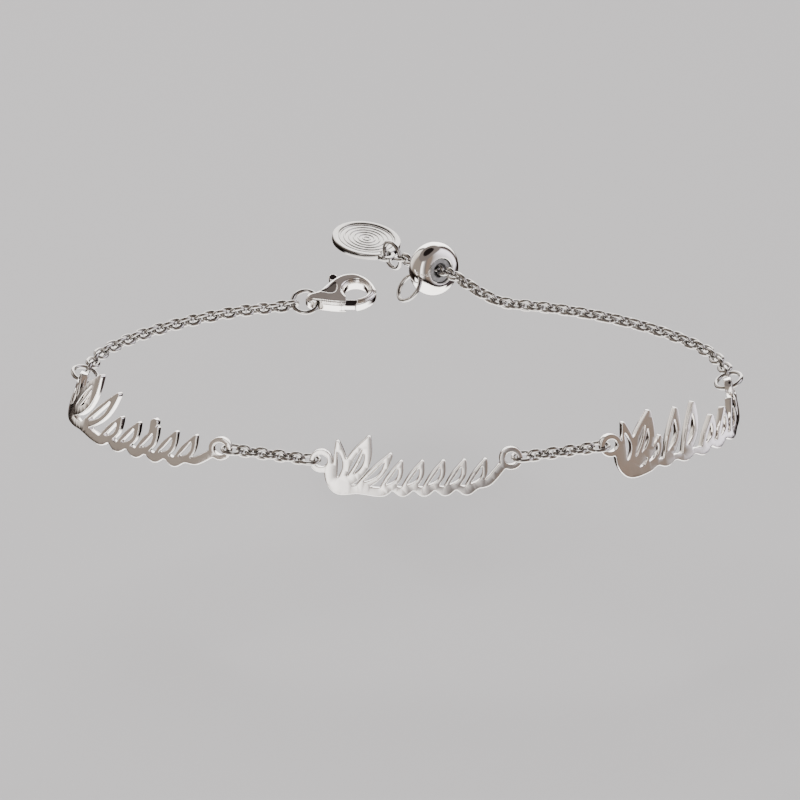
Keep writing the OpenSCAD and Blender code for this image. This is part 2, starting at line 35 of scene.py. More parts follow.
import bmesh
import bpy
import numpy as np
from bpy.props import FloatProperty, FloatVectorProperty, IntProperty, PointerProperty
from mathutils import Matrix, Vector
from mathutils.geometry import delaunay_2d_cdt

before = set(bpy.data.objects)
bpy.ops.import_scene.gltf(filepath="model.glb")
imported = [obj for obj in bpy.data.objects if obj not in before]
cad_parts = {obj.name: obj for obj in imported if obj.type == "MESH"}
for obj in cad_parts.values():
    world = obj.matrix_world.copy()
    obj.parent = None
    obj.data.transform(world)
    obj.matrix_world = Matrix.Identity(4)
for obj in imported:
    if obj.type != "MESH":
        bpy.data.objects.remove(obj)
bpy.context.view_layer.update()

MM = 0.001


def length(name, description, mm):
    """A size that the user gives as a length."""
    return FloatProperty(name=name, description=description, default=mm * MM, unit="LENGTH", precision=5)


class LoopSizes(bpy.types.PropertyGroup):
    half_width: length("Half width", "From the middle of the wrist to the chain", 42.1)
    front: length("Front depth", "Depth of the loop before its widest line", 17.1)


class PlateSizes(bpy.types.PropertyGroup):
    thickness: length("Thickness", "Thickness of a plate", 0.95)
    lean: FloatProperty(name="Lean", description="Lean of the plates' tops towards the wrist",
                        default=math.radians(18), subtype="ANGLE")
    eyelet: length("Eyelet", "Outside diameter of an eyelet", 2.9)
    hole: length("Eyelet hole", "Diameter of an eyelet's hole", 1.6)
    left: length("Left length", "Length between the left plate's eyelets", 26.3)
    center: length("Centre length", "Length between the centre plate's eyelets", 23.5)
    right: length("Right length", "Length between the right plate's eyelets", 21.9)
    edge: length("Edge radius", "Radius of a plate's polished edges", 0.11)


class ChainSizes(bpy.types.PropertyGroup):
    link_more: length("Link wire", "How much thicker a polished link's wire is than the solid's", 0.07)
    belly: FloatProperty(name="Link belly", description="How far a link's sides bow out, as a share",
                         default=0.12, min=0, max=0.3)
    ring_more: length("Ring wire", "How much thicker a jump ring's wire is than the solid's", 0.06)
    sides: IntProperty(name="Wire sides", description="Sides of a round wire", default=14, min=6, max=24)


class BeadSizes(bpy.types.PropertyGroup):
    diameter: length("Bead", "Diameter of the sliding bead", 6.9)
    along: length("Length", "Length of the bead along the chain", 3.55)
    stopper: length("Stopper", "Diameter of the soft stopper", 3.3)
    bore: length("Bore", "Diameter of the hole that the chain passes through", 1.86)
    channel: length("Channel", "Clearance of the closing ring in its channel", 0.1)


class TagSizes(bpy.types.PropertyGroup):
    diameter: length("Tag", "Diameter of the end tag", 8.9)
    thickness: length("Thickness", "Thickness of the end tag", 0.8)
    rim: length("Rim", "Width of the tag's plain rim", 0.7)
    lug: length("Lug", "Outside diameter of the tag's lug", 2.5)
    hole: length("Lug hole", "Diameter of the hole in the lug", 1.5)


class SilverLook(bpy.types.PropertyGroup):
    polished: FloatVectorProperty(name="Polished silver", description="Colour of the polished silver",
                                  subtype="COLOR", default=(0.86, 0.83, 0.80))
    satin: FloatVectorProperty(name="Satin silver", description="Colour of the plates' faces",
                               subtype="COLOR", default=(0.84, 0.81, 0.785))
    rubber: FloatVectorProperty(name="Stopper", description="Colour of the soft stopper",
                                subtype="COLOR", default=(0.36, 0.365, 0.37))


GROUPS = {"loop": LoopSizes, "plates": PlateSizes, "chains": ChainSizes, "bead": BeadSizes,
          "tag": TagSizes, "silver": SilverLook}


class Sizes:
    """The values of one group of the scene, with lengths in millimetres."""

    def __init__(self, name):
        group = getattr(bpy.context.scene, "bracelet_" + name)
        for key in group.__annotations__:
            value = getattr(group, key)
            if group.bl_rna.properties[key].unit == "LENGTH":
                value = round(value / MM, 4)
            setattr(self, key, value)


class Socket:
    """One output of a shader node; the usual operators add the Math nodes they need."""

    def __init__(self, tree, socket):
        self.tree = tree
        self.socket = socket

    def math(self, operation, *others):
        return self.tree.node("ShaderNodeMath", {"operation": operation}, (self,) + others)

    def __add__(self, other):
        return self.math("ADD", other)

    __radd__ = __add__

    def __mul__(self, other):
        return self.math("MULTIPLY", other)

    __rmul__ = __mul__

    def __sub__(self, other):
        return self.math("SUBTRACT", other)

    def __rsub__(self, other):
        return self.tree.node("ShaderNodeMath", {"operation": "SUBTRACT"}, (other, self))

    def step(self, low, high):
        """0 below low, 1 above high, smooth between."""
        return self.tree.node("ShaderNodeMapRange", {"interpolation_type": "SMOOTHSTEP"},
                              {"Value": self, "From Min": low, "From Max": high})


# The Mix node's colour sockets go by number, as their names repeat
MIX_SHARE, MIX_LOW, MIX_HIGH, MIX_OUT = 0, 6, 7, 2


class Tree:
    """A node tree with one way to add any node."""

    def __init__(self, owner):
        owner.use_nodes = True
        self.nodes = owner.node_tree.nodes
        self.links = owner.node_tree.links
        self.nodes.clear()

    def node(self, kind, settings=None, inputs=(), output=0):
        made = self.nodes.new(kind)
        for key, value in (settings or {}).items():
            if key == "stops":
                self.ramp(made.color_ramp, value)
            else:
                setattr(made, key, value)
        pairs = inputs.items() if isinstance(inputs, dict) else enumerate(inputs)
        for key, value in pairs:
            socket = made.inputs[key]
            if isinstance(value, Socket):
                self.links.new(value.socket, socket)
            elif value is not None:
                socket.default_value = value
        return Socket(self, made.outputs[output])

    def ramp(self, ramp, stops):
        while len(ramp.elements) < len(stops):
            ramp.elements.new(0.5)
        for element, (place, colour) in zip(ramp.elements, stops):
            element.position = place
            element.color = tuple(colour) + (1,) * (4 - len(colour))

    def millimetres(self):
        """The piece's own coordinates, in millimetres."""
        point = self.node("ShaderNodeTexCoord", output="Object")
        return self.node("ShaderNodeMapping", {}, {"Vector": point, "Scale": (1 / MM,) * 3})

    def noise(self, point, scale, detail=3.0, rough=0.5):
        return self.node("ShaderNodeTexNoise", {}, {"Vector": point, "Scale": scale, "Detail": detail,
                                                    "Roughness": rough}, "Fac")

    def mix(self, share, low, high, blend="MIX"):
        settings = {"data_type": "RGBA", "blend_type": blend}
        inputs = {MIX_SHARE: share, MIX_LOW: low, MIX_HIGH: high}
        return self.node("ShaderNodeMix", settings, inputs, MIX_OUT)

    def finish(self, shader, kind="ShaderNodeOutputMaterial"):
        end = self.nodes.new(kind)
        self.links.new(shader.socket, end.inputs["Surface"])


def rgba(colour, share=1.0):
    return tuple(c * share for c in colour[:3]) + (1.0,)


# Noise scales of the silver, for coordinates in millimetres, and the stretch of its streaks
CLOUDS, GRAIN, STREAKS, STREAK_STRETCH = 0.35, 9.0, 2.2, 14.0
# Darkest and lightest shares of a silver's colour
DULL, BRIGHT = 0.93, 1.03
# Height of the scratches in metres, and their strength plain and brushed
BUMP_HEIGHT, SCRATCHED, BRUSHED = 0.02 * MM, 0.05, 0.25
# The stopper: noise scales of its dust and skin, the dust's lightness, and its roughness
DUST, SKIN, DUSTY, MATT, MATT_MORE = 2.5, 12.0, 1.35, 0.55, 0.15


def silver(name, colour, rough, wear, brushed=0.0):
    """Silver whose roughness and tone vary a little, with fine scratches in the bump."""
    material = bpy.data.materials.new(name)
    tree = Tree(material)
    point = tree.millimetres()
    cloud = tree.noise(point, CLOUDS)
    grain = tree.noise(point, GRAIN, detail=5.0, rough=0.65)
    tone = tree.mix(cloud.step(0.35, 0.7), rgba(colour, DULL), rgba(colour, BRIGHT))
    drawn_out = tree.node("ShaderNodeMapping", {}, {"Vector": point, "Scale": (1.0, 1.0, STREAK_STRETCH)})
    streaks = tree.noise(drawn_out, STREAKS, detail=4.0, rough=0.7)
    roughness = rough + (cloud - 0.5) * wear + (grain - 0.5) * wear
    height = grain * 0.6 + streaks * (0.4 + brushed)
    bump = tree.node("ShaderNodeBump", {}, {"Strength": SCRATCHED + BRUSHED * brushed,
                                            "Distance": BUMP_HEIGHT, "Height": height}, "Normal")
    shader = tree.node("ShaderNodeBsdfPrincipled", {}, {"Base Color": tone, "Metallic": 1.0,
                                                        "Roughness": roughness, "Normal": bump})
    tree.finish(shader)
    return material


def silicone(name, colour):
    """Matt silicone with a little dust on it."""
    material = bpy.data.materials.new(name)
    tree = Tree(material)
    point = tree.millimetres()
    dust = tree.noise(point, DUST, detail=4.0)
    tone = tree.mix(dust.step(0.45, 0.75), rgba(colour), rgba(colour, DUSTY))
    bump = tree.node("ShaderNodeBump", {}, {"Strength": 0.2, "Distance": BUMP_HEIGHT,
                                            "Height": tree.noise(point, SKIN)}, "Normal")
    shader = tree.node("ShaderNodeBsdfPrincipled", {}, {"Base Color": tone, "Normal": bump,
                                                        "Roughness": MATT + dust * MATT_MORE})
    tree.finish(shader)
    return material


# Shares of the polished colour that paint shade into the links and rings, and into the whole tag: darker
# copies of the one silver
LINK_PAINTED_SHADE, RELIEF_PAINTED_SHADE = 0.5, 0.45
_looks = {}


def look(name):
    """The materials by name, each made once."""
    if name not in _looks:
        settings = Sizes("silver")
        makers = {
            "polished": lambda: silver("polished_silver", settings.polished, rough=0.08, wear=0.04),
            "satin": lambda: silver("satin_silver", settings.satin, rough=0.14, wear=0.05, brushed=0.1),
            "stopper": lambda: silicone("grey_silicone", settings.rubber),
            # Painted shade: the links and rings get the polished silver at half its colour
            "links": lambda: silver("drawn_silver", rgba(settings.polished, LINK_PAINTED_SHADE),
                                    rough=0.1, wear=0.05),
            # Painted shade: the whole tag gets the polished silver at under half its colour
            "relief": lambda: silver("relief_silver", rgba(settings.polished, RELIEF_PAINTED_SHADE),
                                     rough=0.16, wear=0.06),
        }
        _looks[name] = makers[name]()
    return _looks[name]


def linked(name, bm):
    """A new object of the scene with the bmesh as its mesh; the bmesh is freed."""
    mesh = bpy.data.meshes.new(name)
    bm.to_mesh(mesh)
    bm.free()
    made = bpy.data.objects.new(name, mesh)
    bpy.context.scene.collection.objects.link(made)
    return made


def add_object(name, bm, looks, smooth_angle):
    """A finished bmesh, in millimetres, to an object in metres at the origin."""
    bmesh.ops.recalc_face_normals(bm, faces=bm.faces)
    bmesh.ops.scale(bm, vec=(MM, MM, MM), verts=bm.verts)
    limit = math.radians(smooth_angle)
    for face in bm.faces:
        face.smooth = True
    for edge in bm.edges:
        edge.smooth = len(edge.link_faces) == 2 and edge.calc_face_angle(0) < limit
    made = linked(name, bm)
    for item in looks:
        made.data.materials.append(look(item))
    return made


def dress(piece, node, body):
    """Put a piece in a CAD node's place on its body, and hide the node."""
    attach(piece, body)
    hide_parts(node)


def scratch_object(bm):
    bmesh.ops.recalc_face_normals(bm, faces=bm.faces)
    return linked("scratch", bm)


def applied(obj):
    """The object's mesh with its modifiers, as a bmesh; the object is removed."""
    graph = bpy.context.evaluated_depsgraph_get()
    bm = bmesh.new()
    bm.from_mesh(obj.evaluated_get(graph).to_mesh())
    bpy.data.objects.remove(obj)
    return bm


def combine(base, others, operation):
    """A bmesh with others added to or cut from it; each other is a closed bmesh."""
    obj = scratch_object(base)
    group = bpy.data.collections.new("operands")
    bpy.context.scene.collection.children.link(group)
    made = []
    for other in others:
        item = scratch_object(other)
        bpy.context.scene.collection.objects.unlink(item)
        group.objects.link(item)
        made.append(item)
    modifier = obj.modifiers.new("combine", "BOOLEAN")
    modifier.operation = operation
    modifier.operand_type = "COLLECTION"
    modifier.collection = group
    modifier.solver = "EXACT"
    bm = applied(obj)
    for item in made:
        bpy.data.objects.remove(item)
    bpy.data.collections.remove(group)
    return bm


def prism(outline, low, high):
    """Closed prism over a flat outline."""
    bm = bmesh.new()
    face = bm.faces.new([bm.verts.new((x, y, low)) for x, y in outline])
    out = bmesh.ops.extrude_face_region(bm, geom=[face])
    lifted = [v for v in out["geom"] if isinstance(v, bmesh.types.BMVert)]
    bmesh.ops.translate(bm, verts=lifted, vec=(0, 0, high - low))
    bmesh.ops.recalc_face_normals(bm, faces=bm.faces)
    return bm


def extruded(bm, edges):
    """Extrude a run of edges; gives the new vertices and the edges that join them."""
    out = bmesh.ops.extrude_edge_only(bm, edges=edges)["geom"]
    verts = [v for v in out if isinstance(v, bmesh.types.BMVert)]
    known = set(verts)
    return verts, [e for e in out if isinstance(e, bmesh.types.BMEdge) and known.issuperset(e.verts)]


def disc_outline(x, y, radius, count=48):
    return [(x + radius * math.cos(2 * math.pi * k / count), y + radius * math.sin(2 * math.pi * k / count))
            for k in range(count)]


def spline(a, b, c, d, t):
    """The point at t, from 0 to 1, of a smooth line from b to c."""
    return tuple(0.5 * (2 * q + (r - p) * t + (2 * p - 5 * q + 4 * r - s) * t * t
                        + (3 * q - p - 3 * r + s) * t ** 3) for p, q, r, s in zip(a, b, c, d))


def smooth_line(points, steps):
    last = len(points) - 1
    line = [spline(points[max(i - 1, 0)], points[i], points[i + 1], points[min(i + 2, last)], k / steps)
            for i in range(last) for k in range(steps)]
    return line + [tuple(points[last])]


# Sides of the round ends of a ribbon
END_SIDES = 24


def ribbon(rows, steps):
    """Convex pieces of a ribbon along rows of (along, up, half width), with round ends."""
    path = smooth_line(rows, steps)
    sides = []
    for i, (x, y, half) in enumerate(path):
        ax, ay = path[max(i - 1, 0)][:2]
        bx, by = path[min(i + 1, len(path) - 1)][:2]
        run = math.hypot(bx - ax, by - ay)
        nx, ny = -(by - ay) / run * half, (bx - ax) / run * half
        sides.append(((x + nx, y + ny), (x - nx, y - ny)))
    pieces = [[a[1], b[1], b[0], a[0]] for a, b in zip(sides, sides[1:])]
    return pieces + [disc_outline(*path[0], END_SIDES), disc_outline(*path[-1], END_SIDES)]


# Half widths of a leaf at its root and tip, how far it bows, and its steps along
LEAF_ROOT, LEAF_TIP, LEAF_BOW, LEAF_STEPS = 0.45, 0.28, 0.3, 14
# A leaf's slit: half widths at its ends, share of the leaf's belly, and where it starts in the leaf
SLIT_ROOT, SLIT_TIP, SLIT_BELLY, SLIT_INSET = 0.07, 0.05, 0.5, 0.2
# A leaf with a larger belly than BROAD also has a midrib, of these half widths
BROAD, RIB_ROOT, RIB_TIP = 1.0, 0.3, 0.18
# A run of like leaves: how far each leans along, in steps, and its belly
LEAF_LEAN, RUN_BELLY = 0.9, 0.5
# Half widths of a waved stem where it is low and where it is high
STEM_LOW, STEM_HIGH = 0.55, 0.34


def leaf_rows(root, tip, belly, root_w, tip_w):
    """Rows of (along, up, half width) from a leaf's root to its tip."""
    dx, dy = tip[0] - root[0], tip[1] - root[1]
    length = math.hypot(dx, dy)
    rows = []
    for i in range(LEAF_STEPS + 1):
        t = i / LEAF_STEPS
        swell = math.sin(math.pi * t)
        rows.append((root[0] + dx * t + dy / length * LEAF_BOW * swell,
                     root[1] + dy * t - dx / length * LEAF_BOW * swell,
                     root_w + (tip_w - root_w) * t + belly * swell))
    return rows


def leaf_run(start, step, count, low, high):
    """Like leaves side by side, each (root, tip, belly)."""
    return [((start + i * step, low), (start + (i + LEAF_LEAN) * step, high), RUN_BELLY)
            for i in range(count)]


def stem_run(start, step, count, low, high):
    """Rows of a stem that waves up and down once for each leaf."""
    return [(start + i * step / 2, high, STEM_HIGH) if i % 2 else (start + i * step / 2, low, STEM_LOW)
            for i in range(2 * count)]


# The work in the flat, in millimetres from the first eyelet: leaves as (root, tip, belly), and
# stems as rows of (along, up, half width)
LEFT_LEAVES = leaf_run(10.3, 2.6, 5, -2.5, 1) + [
    ((3.3, -2.2), (2.6, 2.6), 0.5), ((3.7, -2.2), (8, 5), 1.1), ((7, -2.1), (11.6, 3.8), 0.55)]
LEFT_STEMS = [
    [(0.8, -0.8, 0.5), (1.8, -2, 0.55), (3.4, -2.6, 0.65), (5.2, -2.6, 0.5), (7.2, -2.3, 0.5)]
    + stem_run(10.2, 2.6, 5, -2.75, -2.2) + [(23.4, -2, 0.5), (25.2, -0.8, 0.5)],
    [(1, 0.6, 0.4), (2, 0.8, 0.4), (2.8, 0.6, 0.4)],
    [(17, -0.2, 0.25), (17.1, 0.8, 0.25), (17.4, 1.7, 0.55)]]
CENTER_LEAVES = leaf_run(7.6, 2.6, 5, -3.5, 0) + [
    ((2.1, -3.1), (2, 2.4), 0.5), ((2.6, -3.2), (5.9, 3.1), 1.1), ((4.6, -3.3), (8.6, 0.9), 0.5)]
CENTER_STEMS = [
    [(1, -0.7, 0.6), (1.2, -2.3, 0.6), (2.3, -3.5, 0.65), (4.6, -3.5, 0.5)]
    + stem_run(7.5, 2.6, 5, -3.75, -3.2) + [(20.6, -2.7, 0.5), (22.3, -0.9, 0.5)]]
RIGHT_LEAVES = leaf_run(12.3, 2.4, 3, -3.5, 0) + [
    ((2, -3.4), (1.9, 2.4), 0.5), ((2.5, -3.5), (5.5, 3.2), 1.1), ((4.3, -3.6), (6.6, -0.3), 0.4),
    ((7, -3.4), (9.3, 2.6), 0.55), ((9.6, -3.4), (12, 2.6), 0.55)]
RIGHT_STEMS = [
    [(1, -0.7, 0.6), (1.1, -2.5, 0.6), (2.2, -3.9, 0.7), (4.4, -3.9, 0.5), (5.8, -3.4, 0.4),
     (7, -3.7, 0.5), (8.3, -3.3, 0.36), (9.6, -3.7, 0.5), (10.9, -3.3, 0.36)]
    + stem_run(12.2, 2.4, 3, -3.7, -3.2) + [(19.6, -2.6, 0.45), (21, -1, 0.5)]]


class PlateLine:
    """Plan line of a plate: arcs of (radius, length) from a start point and heading."""

    def __init__(self, arcs, start, heading):
        self.arcs = arcs
        self.start = start
        self.heading = heading

    @property
    def length(self):
        return sum(length for _, length in self.arcs)

    def radius(self, s):
        """Radius of the arc at a distance along the line."""
        for radius, length in self.arcs:
            if s <= length:
                break
            s -= length
        return radius

    def at(self, s):
        """Point and heading at a distance along the line."""
        x, y = self.start
        turn = self.heading
        for i, (radius, length) in enumerate(self.arcs):
            here = s if s <= length or i == len(self.arcs) - 1 else length
            end = turn + here / radius
            x += radius * (math.sin(end) - math.sin(turn))
            y += radius * (math.cos(turn) - math.cos(end))
            turn = end
            s -= here
            if s == 0:
                break
        return x, y, turn


# Arcs of a side plate, from its outer eyelet: radius as a share of the loop's half width, and the
# share of the plate's length; and the one radius of the centre plate
SIDE_ARCS = [(0.2, 0.33), (0.52, 0.26), (1.2, 0.41)]
CENTER_RADIUS = 2.4
# Outer eyelets: how far they are inside the loop's widest points, how far back, and the heading
LEFT_IN, LEFT_BACK, LEFT_HEADING = 1.35, 2.1, math.radians(-104)
RIGHT_IN, RIGHT_BACK, RIGHT_HEADING = 1.5, 0.6, math.radians(93.3)
# Middle of the centre plate: its place across, and the heading
CENTER_X, CENTER_HEADING = 1.25, math.radians(1)


def plate_lines():
    """Plan line of each plate by name."""
    loop, plate = Sizes("loop"), Sizes("plates")
    left = [(r * loop.half_width, share * plate.left) for r, share in SIDE_ARCS]
    right = [(r * loop.half_width, share * plate.right) for r, share in reversed(SIDE_ARCS)]
    center = [(CENTER_RADIUS * loop.half_width, plate.center)]
    first = PlateLine(left, (LEFT_IN - loop.half_width, LEFT_BACK), LEFT_HEADING)
    turn = sum(length / radius for radius, length in right)
    last = PlateLine(right, (0, 0), RIGHT_HEADING - turn)
    x, y, _ = last.at(last.length)
    last.start = (loop.half_width - RIGHT_IN - x, RIGHT_BACK - y)
    middle = PlateLine(center, (0, 0), CENTER_HEADING - plate.center / center[0][0] / 2)
    x, y, _ = middle.at(plate.center / 2)
    middle.start = (CENTER_X - x, -loop.front - y)
    return {"plate_left": first, "plate_center": middle, "plate_right": last}


# Steps of a stem between two of its rows
STEM_STEPS = 6
# Places of the kinds of outline that flat_pieces gives
STROKE, SLIT, FILL, HOLE = range(4)


def flat_pieces(leaves, stems, length, last_eyelet):
    """Outlines of the pierced work in the flat: strokes, slits, what fills again, and holes."""
    plate = Sizes("plates")
    strokes, slits, fills = [], [], []
    for rows in stems:
        strokes += ribbon(rows, STEM_STEPS)
    for root, tip, belly in leaves:
        dx, dy = SLIT_INSET * (tip[0] - root[0]), SLIT_INSET * (tip[1] - root[1])
        strokes += ribbon(leaf_rows(root, tip, belly, LEAF_ROOT, LEAF_TIP), 1)
        slits += ribbon(leaf_rows((root[0] + dx, root[1] + dy), (tip[0] - dx, tip[1] - dy),
                                  SLIT_BELLY * belly, SLIT_ROOT, SLIT_TIP), 1)
        if belly > BROAD:
            rib_tip = (tip[0] - dx / 2, tip[1] - dy / 2)
            fills += ribbon(leaf_rows(root, rib_tip, 0, RIB_ROOT, RIB_TIP), 1)
    ends = ((0, 0), (length, last_eyelet))
    fills += [disc_outline(x, y, plate.eyelet / 2) for x, y in ends]
    return strokes, slits, fills, [disc_outline(x, y, plate.hole / 2) for x, y in ends]


# Points nearer than this, in millimetres, are one
CLOSE = 1e-4


def work_loops(groups):
    """Closed outlines round the solid part of the work, with the solid on their left."""
    points, faces, kinds = [], [], []
    for kind, group in enumerate(groups):
        for outline in group:
            faces.append(list(range(len(points), len(points) + len(outline))))
            points += [Vector(p) for p in outline]
            kinds.append(kind)
    points, _, cells, _, _, owners = delaunay_2d_cdt(points, [], faces, 1, CLOSE)
    after = {}
    for cell, owner in zip(cells, owners):
        found = {kinds[i] for i in owner}
        if HOLE not in found and (FILL in found or (STROKE in found and SLIT not in found)):
            a, b, c = cell
            if (points[b] - points[a]).cross(points[c] - points[a]) < 0:
                b, c = c, b
            after.update({(a, b): c, (b, c): a, (c, a): b})
    edge_set = {edge for edge in after if edge[::-1] not in after}
    loops = []
    while edge_set:
        edge = edge_set.pop()
        loop = [edge]
        while True:
            ahead = (edge[1], after[edge])
            while ahead[::-1] in after:
                ahead = (edge[1], after[ahead[::-1]])
            if ahead == loop[0]:
                break
            edge_set.discard(ahead)
            loop.append(ahead)
            edge = ahead
        loops.append(np.array([points[a] for a, _ in loop]))
    return loops


def evened(loop, step, passes=2):
    """The loop with points a step apart, and its corners rounded."""
    ahead = np.roll(loop, -1, axis=0)
    sums = np.concatenate([[0], np.cumsum(np.hypot(*(ahead - loop).T))])
    count = max(8, int(round(sums[-1] / step)))
    marks = np.arange(count) * sums[-1] / count
    closed = np.vstack([loop, loop[:1]])
    out = np.stack([np.interp(marks, sums, closed[:, k]) for k in (0, 1)], axis=1)
    for _ in range(passes):
        out = 0.5 * out + 0.25 * (np.roll(out, 1, axis=0) + np.roll(out, -1, axis=0))
    return out


def loop_area(loop):
    """Area inside a loop, less than 0 for an opening."""
    ahead = np.roll(loop, -1, axis=0)
    return 0.5 * float(np.sum(loop[:, 0] * ahead[:, 1] - loop[:, 1] * ahead[:, 0]))


# Faces across a rounded edge
EDGE_STEPS = 3


def slab(loops, half, edge):
    """Closed slab over flat outlines and their holes, with its edges rounded."""
    bm = bmesh.new()
    place = bm.verts.layers.int.new("place")
    flat = np.vstack(loops)
    along = np.vstack([np.roll(loop, -1, axis=0) - np.roll(loop, 1, axis=0) for loop in loops])
    inward = np.stack([-along[:, 1], along[:, 0]], axis=1) / np.linalg.norm(along, axis=1)[:, None]
    verts = [bm.verts.new((x, y, -half)) for x, y in flat]
    for i, vert in enumerate(verts):
        vert[place] = i
    edges, start = [], 0
    for loop in loops:
        ring = verts[start:start + len(loop)]
        edges += [bm.edges.new(pair) for pair in zip(ring, ring[1:] + ring[:1])]
        start += len(loop)
    turns = [math.pi / 2 * k / EDGE_STEPS for k in range(EDGE_STEPS + 1)]
    rows = [(edge * (1 - math.cos(t)), edge * math.sin(t)) for t in turns]
    rows = [(inset, edge - rise - half) for inset, rise in rows[::-1]] + [
        (inset, half - edge + rise) for inset, rise in rows]
    ends = []
    for i, (inset, height) in enumerate(rows):
        if i:
            verts, edges = extruded(bm, edges)
        for vert in verts:
            x, y = flat[vert[place]] + inward[vert[place]] * inset
            vert.co = (x, y, height)
        if i in (0, len(rows) - 1):
            ends.append(edges)
    for rim in ends:
        bmesh.ops.triangle_fill(bm, edges=rim, use_beauty=True, use_dissolve=False, normal=(0, 0, 1))
    bmesh.ops.recalc_face_normals(bm, faces=bm.faces)
    return bm


# Smallest island or opening that stays, in square millimetres, and the step along its outline
SPECK, OUTLINE_STEP = 0.02, 0.12
# A face whose normal's height is over this is flat, and satin
FLAT = 0.99
# Longest slice of a plate that bends, and its most as a share of the radius there
SLICE, SLICE_SHARE = 1.2, 0.07


def bent_plate(name, leaves, stems, last_eyelet):
    """A plate cut in the flat, sliced so that it can bend, and laid leaning along its line."""
    line = plate_lines()[name]
    plate = Sizes("plates")
    loops = [loop for loop in work_loops(flat_pieces(leaves, stems, line.length, last_eyelet))
             if abs(loop_area(loop)) > SPECK]
    bm = slab([evened(loop, OUTLINE_STEP) for loop in loops], plate.thickness / 2, plate.edge)
    for face in bm.faces:
        face.material_index = 0 if abs(face.normal.z) > FLAT else 1
    cut_at = -plate.eyelet / 2
    while cut_at < line.length + plate.eyelet / 2:
        bmesh.ops.bisect_plane(bm, geom=bm.verts[:] + bm.edges[:] + bm.faces[:], dist=CLOSE,
                               plane_co=(cut_at, 0, 0), plane_no=(1, 0, 0))
        cut_at += min(SLICE, SLICE_SHARE * line.radius(cut_at))
    lean = plate.lean
    for vert in bm.verts:
        s, up, out = vert.co
        x, y, turn = line.at(s)
        inward = up * math.sin(lean) - out * math.cos(lean)
        vert.co = (x - math.sin(turn) * inward, y + math.cos(turn) * inward,
                   up * math.cos(lean) + out * math.sin(lean))
    return bm


# Leaves and stems of each plate, and the height of its last eyelet over its first
PLATES = {
    "plate_left": (LEFT_LEAVES, LEFT_STEMS, 0.0),
    "plate_center": (CENTER_LEAVES, CENTER_STEMS, 0.1),
    "plate_right": (RIGHT_LEAVES, RIGHT_STEMS, 0.0),
}


class BRACELET_OT_plates(bpy.types.Operator):
    """Add the three pierced plates"""

    bl_idname = "bracelet.plates"
    bl_label = "Pierced plates"

    def execute(self, context):
        for name, (leaves, stems, last_eyelet) in PLATES.items():
            bm = bent_plate(name, leaves, stems, last_eyelet)
            piece = add_object(name + "_work", bm, ["satin", "polished"], 180)
            piece.modifiers.new("even_faces", "WEIGHTED_NORMAL")
            dress(piece, name, "bracelet")
        return {"FINISHED"}


def wire_circle(bm, wire, place):
    """Edges of a circle of the wire's size, moved by place."""
    sides = Sizes("chains").sides
    out = bmesh.ops.create_circle(bm, segments=sides, radius=wire / 2, matrix=place)
    return list(dict.fromkeys(e for v in out["verts"] for e in v.link_edges))


# Steps round the bend of a link, a ring, and the ring's finer channel in the bead
LINK_STEPS, RING_STEPS, CHANNEL_STEPS = 10, 44, 72


def oval_link(bm, half_bar, mean_r, wire, belly, place):
    """Round wire bent to an oval in the XY plane, its sides bowed out, moved by place."""
    before = set(bm.verts)
    across = Matrix.Translation((half_bar, -mean_r, 0)) @ Matrix.Rotation(math.pi / 2, 4, "Y")
    edges = wire_circle(bm, wire, across)
    for side in (1, -1):
        out = bmesh.ops.spin(bm, geom=edges, cent=(side * half_bar, 0, 0), axis=(0, 0, 1), angle=math.pi,
                             steps=LINK_STEPS)
        edges = [e for e in out["geom_last"] if isinstance(e, bmesh.types.BMEdge)]
        verts, edges = extruded(bm, edges)
        bmesh.ops.translate(bm, verts=verts, vec=(-2 * side * half_bar, 0, 0))
    fresh = [v for v in bm.verts if v not in before]
    bmesh.ops.remove_doubles(bm, verts=fresh, dist=CLOSE)
    fresh = [v for v in bm.verts if v not in before]
    for vert in fresh:
        vert.co.y *= 1 + belly * max(0.0, 1 - (vert.co.x / (half_bar + mean_r)) ** 2)
    bmesh.ops.transform(bm, matrix=place, verts=fresh)


def ring_mesh(bm, mean_r, wire, place, steps=RING_STEPS):
    """Round wire bent to a ring in the XY plane, moved by place."""
    before = set(bm.verts)
    upright = Matrix.Translation((mean_r, 0, 0)) @ Matrix.Rotation(math.pi / 2, 4, "X")
    edges = wire_circle(bm, wire, upright)
    bmesh.ops.spin(bm, geom=edges, cent=(0, 0, 0), axis=(0, 0, 1), angle=2 * math.pi, steps=steps,
                   use_merge=True)
    fresh = [v for v in bm.verts if v not in before]
    bmesh.ops.transform(bm, matrix=place, verts=fresh)


# Points of a CAD mesh nearer than this, in metres, are one
CAD_CLOSE = 1e-7


def node_mesh(node):
    """Merged copy of a CAD node's mesh, in metres."""
    bm = bmesh.new()
    bm.from_mesh(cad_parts[node].data)
    bmesh.ops.remove_doubles(bm, verts=bm.verts, dist=CAD_CLOSE)
    return bm


def node_solids(node):
    """Points of each loose solid of a CAD node, in millimetres."""
    bm = node_mesh(node)
    seen, solids = set(), []
    for start in bm.verts:
        if start in seen:
            continue
        stack, found = [start], []
        seen.add(start)
        while stack:
            vert = stack.pop()
            found.append(vert.co / MM)
            for edge in vert.link_edges:
                other = edge.other_vert(vert)
                if other not in seen:
                    seen.add(other)
                    stack.append(other)
        solids.append(np.array(found))
    bm.free()
    return solids


def solid_frame(points):
    """Centre, axes (long, wide, thin) and extents of a flat solid's points."""
    center = (points.max(0) + points.min(0)) / 2
    for _ in range(3):
        _, _, axes = np.linalg.svd(points - center, full_matrices=False)
        spread = (points - center) @ axes.T
        center = center + ((spread.max(0) + spread.min(0)) / 2) @ axes
    spread = (points - center) @ axes.T
    extent = spread.max(0) - spread.min(0)
    if np.linalg.det(axes) < 0:
        axes[2] = -axes[2]
    matrix = Matrix([[axes[j][i] for j in range(3)] + [center[i]] for i in range(3)] + [[0, 0, 0, 1]])
    return matrix, extent


